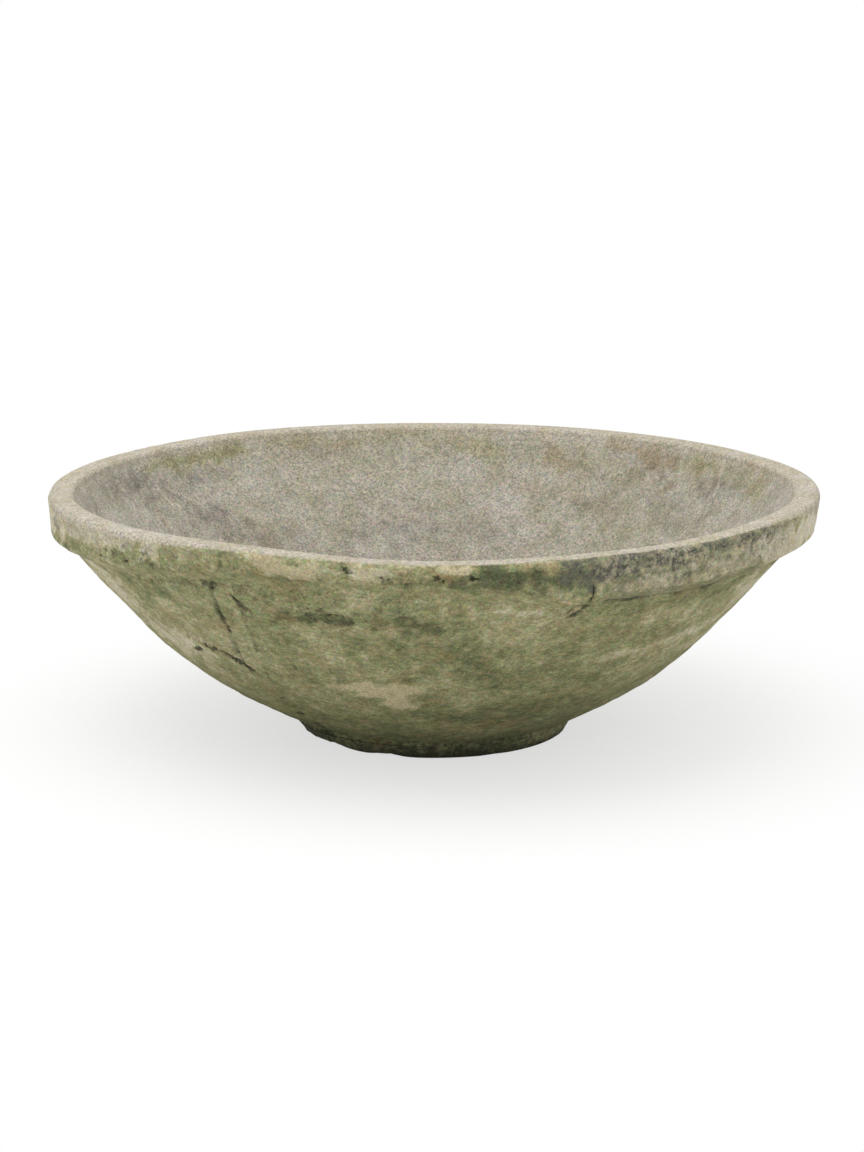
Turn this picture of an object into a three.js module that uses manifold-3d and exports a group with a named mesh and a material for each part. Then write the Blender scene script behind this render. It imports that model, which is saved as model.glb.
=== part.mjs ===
// Hand-built garden bowl in weathered cast stone: a wide open basin on a low foot ring,
// with a strip pressed round the outside of the lip and a strap pressed over the wall's seam.
// Millimetres and degrees. +Z is up, the ground is Z = 0, and azimuth 0 is the front, towards -Y.
import * as THREE from "three";
import { mergeVertices } from "three/addons/utils/BufferGeometryUtils.js";
import Module from "manifold-3d";

const wasm = await Module();
wasm.setup();

// Overall size
const rimRadius = 250;
const bowlHeight = 164;
const wallThickness = 15;
const floorThickness = 17;
const jointGap = 0.4;

// Outer wall: one curve from the foot to the strip's seat, with its rise above level at both ends
// and the share of its length over which each end keeps that rise, then a steeper seat to the lip
const wallFootInset = 3;
const wallFootRise = 25.6;
const wallFootPullShare = 0.52;
const wallFlareRise = 48;
const wallFlarePullShare = 0.42;
const bandSeatInset = 16;
const bandSeatDepth = 32;

// Lip and inside, with the height over which the wall turns into the floor
const lipWidth = 17;
const lipRounding = 4;
const floorBlend = 7;

// Strip round the outside of the lip, with its two ends butted at a joint in front
const bandTopWidth = 7;
const bandDepth = 34;
const bandUnderDrop = 6;
const bandFaceLean = 2;
const bandTopRounding = 4;
const bandLowerRounding = 4;
const bandJointAzimuth = 22;
const bandJointWidth = 1.2;
// Depth of the strip along its length, from the deep end at the joint to the thin end
const bandDepthShares = [0.88, 1.0, 1.04, 1.02, 1.0, 1.02, 1.02, 0.9, 0.62, 0.58];

// Strap over the seam of the wall
const strapTopAzimuth = -31.5;
const strapFootAzimuth = -39.5;
const strapTopWidth = 15;
const strapFootWidth = 8;
const strapSunk = 4;
const strapEdgeProud = 0.3;
const strapCrown = 1.2;
const strapTopClearance = 1.5;
const strapFootHeight = 24;
const cutOverrun = 6;

// Foot ring
const footRadius = 90;
const footHeight = 9;
const footWidth = 30;
const footDraft = 4;
const footRounding = 3;

// Unevenness of hand work: the plan is a little oval, the middle of the wall leans to one side, and
// the lip drops by shares of a swing that are given at equal steps from the front
const outOfRound = 1.5;
const ovalAzimuth = 45;
const wallLean = 2.2;
const leanAzimuth = -90;
const lipSwing = 5;
const lipDropShares = [0.74, 0.46, 0, 0.2, 0.54, 0.6, 0.72, 0.64, 0.84, 0.74, 0.4, 0.02];

// Facets
const turnSegments = 72;
const footSegments = 48;
const wallFacets = 9;
const floorBlendFacets = 4;
const edgeFacets = 3;
const strapStations = 16;
const halvings = 30;

const rad = THREE.MathUtils.degToRad;
const point = (radius, height) => new THREE.Vector2(radius, height);

// A direction that rises at an angle in the plane of radius and height, the direction to its left,
// and the rise of a direction
const along = (rise) => point(Math.cos(rad(rise)), Math.sin(rad(rise)));
const leftOf = (rise) => point(-Math.sin(rad(rise)), Math.cos(rad(rise)));
const riseOf = (direction) => THREE.MathUtils.radToDeg(direction.angle());
const step = (from, direction, length) => from.clone().addScaledVector(direction, length);

// Points on an arc between two angles, both ends included
function arc(centre, radius, fromAngle, toAngle, facets) {
  return Array.from({ length: facets + 1 }, (_, i) =>
    step(centre, along(fromAngle + ((toAngle - fromAngle) * i) / facets), radius),
  );
}

// Corner points of the basin and the curve of its outer wall
const underside = footHeight + jointGap;
const floorHeight = underside + floorThickness;
const wallFoot = point(footRadius - wallFootInset, underside);
const seatFoot = point(rimRadius - bandSeatInset, bowlHeight - bandSeatDepth);
const seatTop = point(rimRadius - bandTopWidth, bowlHeight);
const seatRise = riseOf(seatTop.clone().sub(seatFoot));
const wallRun = wallFoot.distanceTo(seatFoot);
const wallCurve = new THREE.CubicBezierCurve(
  wallFoot,
  step(wallFoot, along(wallFootRise), wallRun * wallFootPullShare),
  step(seatFoot, along(wallFlareRise), -wallRun * wallFlarePullShare),
  seatFoot,
);

// How far along the wall curve a measure that grows along it reaches a value
function reach(measure, value) {
  let low = 0;
  let high = 1;
  for (let i = 0; i < halvings; i++) {
    const middle = (low + high) / 2;
    if (measure(middle) < value) low = middle;
    else high = middle;
  }
  return low;
}

// The outer wall's point at a height, and its rise there
function wallAt(height) {
  if (height > seatFoot.y) {
    return { at: seatFoot.clone().lerp(seatTop, (height - seatFoot.y) / bandSeatDepth), rise: seatRise };
  }
  const t = reach((share) => wallCurve.getPoint(share).y, height);
  return { at: wallCurve.getPoint(t), rise: riseOf(wallCurve.getTangent(t)) };
}

// The inside follows the wall curve at the wall's thickness and runs out into a flat floor
function insideProfile() {
  const rise = (t) => riseOf(wallCurve.getTangent(t));
  const inside = (t) => step(wallCurve.getPoint(t), leftOf(rise(t)), wallThickness);
  const lipCentre = point(rimRadius - lipWidth + lipRounding, bowlHeight - lipRounding);
  const wallEnd = reach((t) => inside(t).y, floorHeight + floorBlend);
  const wall = Array.from({ length: wallFacets + 1 }, (_, i) =>
    inside(THREE.MathUtils.lerp(1, wallEnd, i / wallFacets)),
  );
  const blendTop = wall.pop();
  const corner = point(blendTop.x - floorBlend / Math.tan(rad(rise(wallEnd))), floorHeight);
  const blendEnd = point(corner.x - corner.distanceTo(blendTop), floorHeight);
  const floorBlendCurve = new THREE.QuadraticBezierCurve(blendTop, corner, blendEnd);
  return [
    ...arc(lipCentre, lipRounding, 90, 180, edgeFacets),
    ...wall,
    ...floorBlendCurve.getPoints(floorBlendFacets),
    point(0, floorHeight),
  ];
}

function basinProfile() {
  return [point(0, underside), ...wallCurve.getPoints(wallFacets), seatTop, ...insideProfile()];
}

function footProfile() {
  const top = footHeight;
  const bottomRadius = footRadius - footDraft;
  const innerRadius = footRadius - footWidth;
  const outerCentre = point(bottomRadius - footRounding, footRounding);
  const innerCentre = point(innerRadius + footRounding, footRounding);
  const loop = [
    ...arc(outerCentre, footRounding, -90, 0, edgeFacets),
    point(footRadius, top),
    point(innerRadius, top),
    ...arc(innerCentre, footRounding, 180, 270, edgeFacets),
  ];
  return [...loop, loop[0].clone()];
}

// A profile turned about the vertical axis, starting at the strip's joint
function turned(profile, segments) {
  return new THREE.LatheGeometry(profile, segments, rad(bandJointAzimuth)).rotateX(Math.PI / 2);
}

const aroundAxis = (azimuth, radius, height) =>
  new THREE.Vector3(radius * Math.sin(rad(azimuth)), -radius * Math.cos(rad(azimuth)), height);

// A skin over a row of closed sections, with both ends capped
function skin(sections, capOutline) {
  const size = sections[0].length;
  const faces = [];
  for (let i = 0; i + 1 < sections.length; i++) {
    for (let j = 0; j < size; j++) {
      const a = i * size + j;
      const b = i * size + ((j + 1) % size);
      faces.push(a, a + size, b, b, a + size, b + size);
    }
  }
  const last = (sections.length - 1) * size;
  for (const [a, b, c] of THREE.ShapeUtils.triangulateShape(capOutline, [])) {
    faces.push(a, b, c, last + a, last + c, last + b);
  }
  const geometry = new THREE.BufferGeometry().setFromPoints(sections.flat());
  return geometry.setIndex(faces);
}

// Depth of the strip at a share of its length, eased between the values along it
function bandDepthAt(share) {
  const places = bandDepthShares.map((depthShare, i) => point(i / (bandDepthShares.length - 1), depthShare));
  return bandDepth * new THREE.SplineCurve(places).getPoint(THREE.MathUtils.clamp(share, 0, 1)).y;
}
const bandShareAt = (azimuth) => THREE.MathUtils.euclideanModulo(azimuth - bandJointAzimuth, 360) / 360;

// Section of the strip where it has a given depth: its back lies along the wall
function bandSection(depth) {
  const crease = bowlHeight - depth;
  const seatHeight = crease < seatFoot.y ? seatFoot.y : crease + bandUnderDrop / 2;
  const arris = point(rimRadius - bandFaceLean, crease + bandUnderDrop);
  const topCentre = point(rimRadius - bandTopRounding, bowlHeight - bandTopRounding);
  const lowerCentre = point(arris.x - bandLowerRounding, arris.y + bandLowerRounding);
  return [
    point(wallAt(crease).at.x + jointGap, crease),
    ...arc(lowerCentre, bandLowerRounding, -90, 0, edgeFacets),
    ...arc(topCentre, bandTopRounding, 0, 90, edgeFacets),
    point(seatTop.x + jointGap, bowlHeight),
    point(wallAt(seatHeight).at.x + jointGap, seatHeight),
  ];
}

function bandGeometry() {
  const halfJoint = THREE.MathUtils.radToDeg(bandJointWidth / rimRadius / 2);
  const sections = Array.from({ length: turnSegments + 1 }, (_, i) => {
    const share = i / turnSegments;
    const azimuth = bandJointAzimuth + halfJoint + (360 - 2 * halfJoint) * share;
    return bandSection(bandDepthAt(share)).map((p) => aroundAxis(azimuth, p.x, p.y));
  });
  return skin(sections, bandSection(bandDepth));
}

// The strap lies along the wall from just under the strip down to near the foot. The same shape,
// grown by the joint gap and run out past the wall, is the channel that it is pressed into
function strapGeometry(grow, outward) {
  const top = bowlHeight - bandDepthAt(bandShareAt(strapTopAzimuth)) - strapTopClearance;
  const sections = Array.from({ length: strapStations + 1 }, (_, i) => {
    const share = i / strapStations;
    const height = THREE.MathUtils.lerp(strapFootHeight - grow, top + grow, share);
    const azimuth = THREE.MathUtils.lerp(strapFootAzimuth, strapTopAzimuth, share);
    const half = THREE.MathUtils.lerp(strapFootWidth, strapTopWidth, share) / 2 + grow;
    const outline = strapOutline(half, grow, outward);
    const wall = wallAt(height);
    return outline.map((p) => {
      const q = step(wall.at, leftOf(wall.rise), -p.y);
      const turn = THREE.MathUtils.radToDeg(Math.atan2(p.x, q.x));
      return aroundAxis(azimuth + turn, Math.hypot(p.x, q.x), q.y);
    });
  });
  return skin(sections, strapOutline(strapTopWidth / 2, grow, outward));
}
const strapOutline = (half, grow, outward) => [
  point(-half, -strapSunk - grow),
  point(half, -strapSunk - grow),
  point(half, strapEdgeProud + outward),
  point(0, strapCrown + outward),
  point(-half, strapEdgeProud + outward),
];

// Boolean cuts between closed geometries
function solidOf(geometry) {
  const bare = geometry.clone();
  bare.deleteAttribute("normal");
  bare.deleteAttribute("uv");
  const merged = mergeVertices(bare);
  const vertProperties = merged.attributes.position.array;
  const triVerts = new Uint32Array(merged.index.array);
  return new wasm.Manifold(new wasm.Mesh({ numProp: 3, vertProperties, triVerts }));
}
function geometryOf(solid) {
  const { vertProperties, triVerts } = solid.getMesh();
  return new THREE.BufferGeometry()
    .setAttribute("position", new THREE.BufferAttribute(vertProperties, 3))
    .setIndex(new THREE.BufferAttribute(triVerts, 1));
}

// Drop of the lip at an azimuth, eased between the shares on either side of it
function lipDrop(azimuth) {
  const place = (THREE.MathUtils.euclideanModulo(azimuth, 360) / 360) * lipDropShares.length;
  const before = Math.floor(place) % lipDropShares.length;
  const after = (before + 1) % lipDropShares.length;
  const blend = THREE.MathUtils.smoothstep(place - before, 0, 1);
  return lipSwing * THREE.MathUtils.lerp(lipDropShares[before], lipDropShares[after], blend);
}

// Every piece is bent by the same unevenness, which grows from nothing at the floor to the lip
function handFormed(geometry) {
  const position = geometry.attributes.position;
  const lean = aroundAxis(leanAzimuth, wallLean, 0);
  for (let i = 0; i < position.count; i++) {
    const spot = new THREE.Vector3().fromBufferAttribute(position, i);
    const azimuth = THREE.MathUtils.radToDeg(Math.atan2(spot.x, -spot.y));
    const share = THREE.MathUtils.smoothstep(spot.z, floorHeight, bowlHeight);
    const grow = 1 + (outOfRound / rimRadius) * Math.cos(rad(2 * (azimuth - ovalAzimuth))) * share;
    spot.multiply(new THREE.Vector3(grow, grow, 1));
    spot.addScaledVector(lean, 4 * share * (1 - share));
    position.setXYZ(i, spot.x, spot.y, spot.z - lipDrop(azimuth) * share);
  }
  return geometry;
}

const stone = (name, colour, roughness) =>
  new THREE.MeshStandardMaterial({ name, color: colour, roughness, metalness: 0 });
const mossyStone = stone("mossy_stone", 0x7d7c59, 0.95);
const stainedStone = stone("stained_stone", 0x8c8573, 0.95);
const dampStone = stone("damp_stone", 0x5c5a42, 0.9);

function piece(name, geometry, material) {
  const mesh = new THREE.Mesh(geometry, material);
  mesh.name = name;
  return mesh;
}

const bowl = new THREE.Group();
const channel = solidOf(strapGeometry(jointGap, cutOverrun));
const basin = geometryOf(solidOf(turned(basinProfile(), turnSegments)).subtract(channel));
bowl.add(
  piece("basin", handFormed(basin), mossyStone),
  piece("seam_strap", handFormed(strapGeometry(0, 0)), mossyStone),
  piece("rim_band", handFormed(bandGeometry()), stainedStone),
  piece("foot_ring", turned(footProfile(), footSegments), dampStone),
);

export default bowl;
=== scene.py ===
import math

import bmesh
import bpy
import numpy as np
from mathutils import Matrix, Vector, geometry


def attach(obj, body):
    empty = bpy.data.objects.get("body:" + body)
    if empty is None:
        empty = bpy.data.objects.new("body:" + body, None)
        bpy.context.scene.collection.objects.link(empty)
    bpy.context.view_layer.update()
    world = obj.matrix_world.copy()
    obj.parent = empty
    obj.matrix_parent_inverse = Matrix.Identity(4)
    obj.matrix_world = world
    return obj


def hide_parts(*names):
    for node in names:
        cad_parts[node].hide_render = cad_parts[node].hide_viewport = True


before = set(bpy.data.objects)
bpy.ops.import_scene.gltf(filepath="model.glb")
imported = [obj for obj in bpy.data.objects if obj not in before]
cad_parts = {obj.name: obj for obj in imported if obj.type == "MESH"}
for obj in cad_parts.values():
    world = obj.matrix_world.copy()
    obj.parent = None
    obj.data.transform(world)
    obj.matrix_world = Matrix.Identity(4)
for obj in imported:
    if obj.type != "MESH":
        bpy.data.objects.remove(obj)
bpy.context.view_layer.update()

# Basin. The wall, floor and lip are one body of cast stone, a coarse mix of sand and cement that was
# pressed over a form by hand. Years outdoors have filmed the outside with moss and algae, and left the
# inside bare and gritty and the lip pale. It carries the strap, the strip round its lip and the foot.
MM = 0.001
rim_radius = 250
bowl_height = 164
wall_thickness = 15
floor_height = 26.4
floor_blend = 7
underside = 9.4
wall_foot = Vector((87, underside))
wall_foot_rise = 25.6
wall_foot_pull = 0.52
seat_foot = Vector((234, 132))
wall_flare_rise = 48
wall_flare_pull = 0.42
seat_top = Vector((243, bowl_height))
lip_inner_radius = 233
lip_rounding = 4
foot_face_radius = 92
foot_face_step = 0.3
foot_face_rise = 0.4
lip_joint_step = 0.04
wall_rings = 84
seat_rings = 6
columns = 540
basin_sectors = 12


def along(rise, length):
    """A step of a given length that rises at an angle in the plane of radius and height."""
    return Vector((math.cos(math.radians(rise)), math.sin(math.radians(rise)))) * length


def evenly(start, end, count):
    """Points after start and up to end, at even steps."""
    return [start.lerp(end, (i + 1) / count) for i in range(count)]


wall_length = (seat_foot - wall_foot).length
wall_curve = geometry.interpolate_bezier(
    wall_foot,
    wall_foot + along(wall_foot_rise, wall_length * wall_foot_pull),
    seat_foot - along(wall_flare_rise, wall_length * wall_flare_pull),
    seat_foot,
    wall_rings + 1,
)
wall_curve = [Vector((p[0], p[1])) for p in wall_curve]

# The outer face comes down the wall curve and turns into the foot's face, with no ledge between them
outer_face = [Vector((foot_face_radius, underside))]
outer_face += [
    Vector((max(p.x, foot_face_radius + foot_face_step), p.y))
    for p in wall_curve if p.y > underside + foot_face_rise
]
outer_face += evenly(seat_foot, seat_top, seat_rings)

inner_face = []
for before, here, after in zip(wall_curve, wall_curve[1:], wall_curve[2:]):
    run = (after - before).normalized()
    inside = here + Vector((-run.y, run.x)) * wall_thickness
    if inside.y > floor_height + floor_blend:
        inner_face.append(inside)
inner_face = inner_face[::-1]
inner_face = inner_face[::2] if len(inner_face) % 2 else inner_face[::2] + inner_face[-1:]
lip_centre = Vector((lip_inner_radius + lip_rounding, bowl_height - lip_rounding))
lip_top = evenly(seat_top, lip_centre + along(90, lip_rounding), 5)
lip_top += [lip_centre + along(90 + 15 * i, lip_rounding) for i in range(1, 7)]
lip_face = evenly(lip_top[-1], inner_face[0], 8)[:-1]
slope = inner_face[-1] - inner_face[-2]
corner = inner_face[-1] + slope * ((floor_height - inner_face[-1].y) / slope.y)
blend_end = corner - Vector(((inner_face[-1] - corner).length, 0))
floor_turn = [
    inner_face[-1].lerp(corner, t).lerp(corner.lerp(blend_end, t), t) for t in (0.2, 0.4, 0.6, 0.8, 1)
]
floor_face = evenly(floor_turn[-1], Vector((0, floor_height)), 6)
under_radii = (0, 30, 60, 80)
under_face = [Vector((radius, underside)) for radius in under_radii]
profile = under_face + outer_face + lip_top + lip_face + inner_face + floor_turn + floor_face

# Distance along the profile, which tells the outside, the lip and the inside apart
runs = [0.0]
for before, here in zip(profile, profile[1:]):
    runs.append(runs[-1] + (here - before).length)
seat_run = runs[len(under_face) + len(outer_face) - seat_rings - 1]
lip_run = runs[len(under_face) + len(outer_face) - 1]
inside_run = runs[len(under_face) + len(outer_face) + len(lip_top) - 1]
outer_heights = np.array([p.y for p in outer_face])
outer_radii = np.array([p.x for p in outer_face])
inner_points = sorted((p.y, p.x) for p in lip_top[-1:] + lip_face + inner_face + floor_turn)
inner_heights = np.array([height for height, radius in inner_points])
inner_radii = np.array([radius for height, radius in inner_points])


def smooth(value, low, high):
    """Rises from 0 at low to 1 at high with an eased start and end."""
    t = np.clip((value - low) / (high - low), 0, 1)
    return t * t * (3 - 2 * t)


def around(azimuth, radius, height):
    """Place at an azimuth in degrees, where 0 is the front, and a radius and height in millimetres."""
    turn = np.radians(azimuth)
    return np.stack([radius * np.sin(turn), -radius * np.cos(turn), height + 0 * turn], axis=-1)


def polar(places):
    """Azimuth in degrees, radius and height of places in millimetres."""
    azimuth = np.degrees(np.arctan2(places[:, 0], -places[:, 1]))
    return azimuth, np.hypot(places[:, 0], places[:, 1]), places[:, 2]


def on_face(face_heights, face_radii, rows):
    """Marks on a face. Each row has half the width of a mark in millimetres, its strength or depth, and the
    stops of its path by azimuth and height."""
    marks = []
    for width, strength, *stops in rows:
        path = [around(turn, np.interp(height, face_heights, face_radii), height) for turn, height in stops]
        marks.append((path, width, strength))
    return marks


def on_wall(*rows):
    return on_face(outer_heights, outer_radii, rows)


def on_inside(*rows):
    return on_face(inner_heights, inner_radii, rows)


def distance_to(path, places):
    """Distance of each place to a path, in millimetres."""
    nearest = np.full(len(places), 1e9)
    for start, end in zip(path, path[1:] or path):
        run = end - start
        share = np.clip(((places - start) @ run) / max(run @ run, 1e-9), 0, 1)
        nearest = np.minimum(nearest, np.linalg.norm(places - start - share[:, None] * run, axis=1))
    return nearest


lattice_size = 64
lattice = np.random.default_rng(7).uniform(-1, 1, (lattice_size, lattice_size, lattice_size))
lattice_tilt = np.array([[0.36, 0.48, -0.8], [-0.8, 0.6, 0.0], [0.48, 0.64, 0.6]])
seed_shift = 17.3
octave_shift = 5.1
full_swing = 1.25


def rough(places, size, octaves, seed):
    """Smooth noise between about -1 and 1 at each place, with lumps of a given size in millimetres. The
    lattice of it is tilted, so that its rows don't show."""
    total = np.zeros(len(places))
    tilted = places @ lattice_tilt
    for octave in range(octaves):
        grid = tilted / size * 2**octave + seed * seed_shift + octave * octave_shift
        cell = np.floor(grid).astype(int)
        ease = smooth(grid - cell, 0, 1)
        level = np.zeros(len(places))
        for corner in np.ndindex(2, 2, 2):
            x, y, z = ((cell + corner) % lattice_size).T
            level += lattice[x, y, z] * np.prod(np.where(corner, ease, 1 - ease), axis=1)
        total += level * full_swing / 2**octave
    return total


# Kinds of unevenness that every piece shares: size in millimetres, octaves and seed
broad_kind = (46, 3, 5)
middling_kind = (14, 3, 6)
ragged_kind = (7, 3, 1)
soot_kind = (6, 2, 9)
crumble_kind = (4.5, 3, 9)
fine_kind = (2.6, 2, 2)
ragged_depth = 0.16


def stained(places, marks, ragged):
    """Sum of soft marks. Each mark is a path, its half width and its strength. It is full in its core, and
    fades out over a ragged fringe."""
    total = np.zeros(len(places))
    core, fringe, raggedness = 0.35, 1.15, 0.6
    for path, width, strength in marks:
        distance = distance_to(path, places) + ragged * width * raggedness
        total += strength * (1 - smooth(distance, width * core, width * fringe))
    return total


# The strap over the seam, which the basin has a channel for: its middle and half its width in degrees
# at heights from the foot up
strap_heights = [24, 45, 60, 75, 90, 105, 120, 137.5]
strap_middles = [-39.0, -37.4, -36.5, -35.5, -34.2, -32.9, -32.3, -31.7]
strap_halves = [1.0, 1.5, 1.9, 2.1, 2.15, 2.05, 2.1, 1.9]
strap_foot = strap_heights[0]
strap_top = strap_heights[-1]
channel_depth = 3.6
column = 360 / columns
strap_middle = -53 * column
# Way into the wall, square to it at the strap, by radius and by height
into_wall = (-0.6, 0.8)


def strap_azimuth(height):
    return np.interp(height, strap_heights, strap_middles)


def strap_half(height):
    return np.interp(height, strap_heights, strap_halves)


# Where the seam beside the strap stands open: side, height, reach and width in millimetres. The rest of
# it is filled with dirt and moss
seam_openings = [
    (-1, 135, 2.0, 0.6), (-1, 122, 2.0, 0.3), (-1, 104, 2.0, 0.35), (-1, 85, 2.5, 0.4),
    (1, 131, 2.0, 0.6), (1, 125, 2, 0.2), (1, 84, 3, 0.2), (1, 66, 3, 0.1),
]
seam_overlap = 0.15
foot_overlap = 0.6
foot_overlap_heights = (62, 80)
# Columns of the mesh beside the seam, in degrees: one down its side, and a narrow one along its edge
seam_side = 0.04
seam_edge = 0.34
# Numbers of columns from the strap's middle, where the drawing in of the mesh starts to fade and is gone
drawn_columns = 5
calm_columns = 20


def seam_gap(side, height):
    """Width of the seam beside the strap, in millimetres. Below zero it is closed."""
    gap = -seam_overlap - foot_overlap * (1 - smooth(height, *foot_overlap_heights))
    for opening_side, middle, reach, width in seam_openings:
        if opening_side == side:
            gap = gap + width * np.exp(-(((height - middle) / reach) ** 2))
    return gap


def led_to_seam(places):
    """Draws the columns of the mesh to both edges of the channel, and sinks the channel between them."""
    azimuth, radius, height = polar(places)
    offset = (azimuth - strap_middle + 180) % 360 - 180
    seam_height = np.clip(height, strap_foot, strap_top)
    moved = np.zeros(len(places))
    for side in (-1, 1):
        edge = strap_half(seam_height) + np.degrees(seam_gap(side, height) / np.maximum(radius, 40))
        here = np.sign(offset) == side
        steps = np.abs(offset) / column
        inner = steps * column
        shoulder = edge + seam_side + seam_edge
        target = np.select(
            [steps <= 1, steps <= 2, steps <= 3, steps <= 4, steps <= drawn_columns],
            [
                inner,
                column + (steps - 1) * (edge - column),
                edge + (steps - 2) * seam_side,
                edge + seam_side + (steps - 3) * seam_edge,
                shoulder + (steps - 4) * (drawn_columns * column - shoulder),
            ],
            inner,
        )
        moved = np.where(here, side * target, moved)
    fading = smooth(np.abs(offset), drawn_columns * column, calm_columns * column)
    drift = (strap_azimuth(seam_height) - strap_middle) * (1 - fading)
    sunk = (np.abs(offset) < 2.5 * column) * smooth(height, strap_foot - 1, strap_foot + 12)
    sunk = sunk * (1 - smooth(height, strap_top - 3, strap_top)) * channel_depth
    return around(strap_middle + moved + drift, radius + sunk * into_wall[0], height + sunk * into_wall[1])


# Unevenness of hand work, the same for every piece: the plan is a little oval, the middle of the wall
# leans to one side, and the lip drops by shares of a swing at equal steps from the front
out_of_round = 1.5
oval_azimuth = 45
wall_lean = 2.2
lip_swing = 5
lip_drop_shares = np.array([0.74, 0.46, 0, 0.2, 0.54, 0.6, 0.72, 0.64, 0.84, 0.74, 0.4, 0.02])


def hand_formed(places):
    azimuth, _, height = polar(places)
    share = smooth(height, floor_height, bowl_height)
    grow = 1 + out_of_round / rim_radius * np.cos(np.radians(2 * (azimuth - oval_azimuth))) * share
    step = azimuth % 360 / 360 * len(lip_drop_shares)
    before = np.floor(step).astype(int) % len(lip_drop_shares)
    after = (before + 1) % len(lip_drop_shares)
    ease = smooth(step - np.floor(step), 0, 1)
    drop = lip_swing * (lip_drop_shares[before] * (1 - ease) + lip_drop_shares[after] * ease)
    bent = places * np.stack([grow, grow, 1 + 0 * grow], axis=-1)
    bent[:, 0] -= wall_lean * 4 * share * (1 - share)
    bent[:, 2] -= drop * share
    return bent


# Scratches and drips of the inside, by strength
scratches = on_inside(
    (1.0, 0.55, (119.7, 158), (118.4, 147), (117, 139.6)),
    (0.8, 0.45, (122.6, 149.5), (120, 142.3)),
    (0.9, 0.9, (-122, 132.2), (-122.4, 128)),
    (1.0, 0.5, (-171.6, 141), (-170.7, 133)),
    (0.8, 0.35, (-113, 133), (-116, 120)),
    (0.8, 0.35, (-124, 140), (-130, 124)),
)

# Open cracks and pits of the wall, by depth in millimetres
wall_cracks = on_wall(
    (2.4, 1.8, (-50.0, 80.4), (-48.6, 81.4)),
    (2.8, 1.9, (-44.8, 85.8), (-43.2, 85.0)),
    (1.0, 0.9, (-43.2, 85.0), (-41.5, 84.0), (-40.3, 83.2)),
    (1.8, 1.6, (-39.6, 80.4), (-38.9, 78.4)),
    (3.6, 2.8, (-38.6, 77.6), (-37.3, 75.0)),
    (0.9, 0.9, (-54.2, 63.2), (-52.9, 60.3), (-51.3, 56.6)),
    (1.0, 1.1, (-31.8, 75), (-31, 73), (-29.6, 71.1)),
    (1.1, 1.0, (-30.8, 134), (-30.2, 130.3), (-29.7, 127), (-28.9, 123)),
    (0.9, 0.8, (-26.4, 133.5), (-25.0, 132.4)),
    (1.0, 0.8, (-19.8, 129), (-18.2, 128.4)),
    (1.0, 0.9, (-15.5, 125.6), (-13.2, 124.8)),
    (0.9, 0.8, (-17.6, 120.5), (-16.1, 119.4)),
)


def turned(bm, section, turn, steps, sectors):
    """Turns a section about the vertical axis: a spin makes one sector, and turned copies the rest."""
    bmesh.ops.spin(
        bm, geom=section, cent=(0, 0, 0), axis=(0, 0, 1), dvec=(0, 0, 0), angle=turn / sectors,
        steps=steps // sectors, use_merge=False, use_normal_flip=False, use_duplicate=False,
    )
    sector = bm.verts[:] + bm.edges[:] + bm.faces[:]
    for i in range(1, sectors):
        copied = bmesh.ops.duplicate(bm, geom=sector)["geom"]
        corners = [part for part in copied if isinstance(part, bmesh.types.BMVert)]
        turned_by = Matrix.Rotation(turn / sectors * i, 3, "Z")
        bmesh.ops.rotate(bm, verts=corners, cent=(0, 0, 0), matrix=turned_by)
    bmesh.ops.remove_doubles(bm, verts=bm.verts, dist=0.01 * MM)
    bmesh.ops.recalc_face_normals(bm, faces=bm.faces)


sharp_corner = math.radians(50)
crack_margin = 3


def as_piece(bm, name):
    """Turns a mesh under construction into an object, smooth but for its sharp corners."""
    mesh = bpy.data.meshes.new(name)
    bm.to_mesh(mesh)
    bm.free()
    mesh.shade_smooth()
    mesh.set_sharp_from_angle(angle=sharp_corner)
    made = bpy.data.objects.new(name, mesh)
    bpy.context.scene.collection.objects.link(made)
    return made


def places_of(mesh):
    """Vertex places of a mesh in millimetres."""
    flat = np.empty(len(mesh.vertices) * 3)
    mesh.vertices.foreach_get("co", flat)
    return flat.reshape(-1, 3) / MM


def set_places(mesh, places):
    mesh.vertices.foreach_set("co", (places * MM).ravel())
    mesh.update()


def pushed(mesh, amounts):
    """Moves each vertex along its normal by an amount in millimetres."""
    flat = np.empty(len(mesh.vertices) * 3)
    mesh.vertex_normals.foreach_get("vector", flat)
    set_places(mesh, places_of(mesh) + flat.reshape(-1, 3) * amounts[:, None])


bm = bmesh.new()
run_layer = bm.verts.layers.float.new("run")
corners = []
for point, run in zip(profile, runs):
    corners.append(bm.verts.new((0, -point.x * MM, point.y * MM)))
    corners[-1][run_layer] = run
edges = [bm.edges.new(pair) for pair in zip(corners, corners[1:])]
turned(bm, corners + edges, math.tau, columns, basin_sectors)

# The channel for the strap, only on the outside. The middle of the underside keeps its even columns. The
# lip lies a hair under the top of the strip round it, so that the two never share a face
bm.verts.ensure_lookup_table()
vertex_runs = np.array([v[run_layer] for v in bm.verts])
places = np.array([v.co for v in bm.verts]) / MM
drawn = led_to_seam(places)
hold = smooth(vertex_runs, seat_run + 2, lip_run - 2)[:, None]
drawn = np.where(vertex_runs[:, None] < lip_run, drawn * (1 - hold) + places * hold, places)
drawn[:, 2] -= lip_joint_step * (drawn[:, 2] > bowl_height - lip_joint_step)
drawn = np.where(np.hypot(places[:, 0], places[:, 1])[:, None] < under_radii[2] + 1, places, drawn)
for v, place in zip(bm.verts, drawn):
    v.co = place * MM

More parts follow.
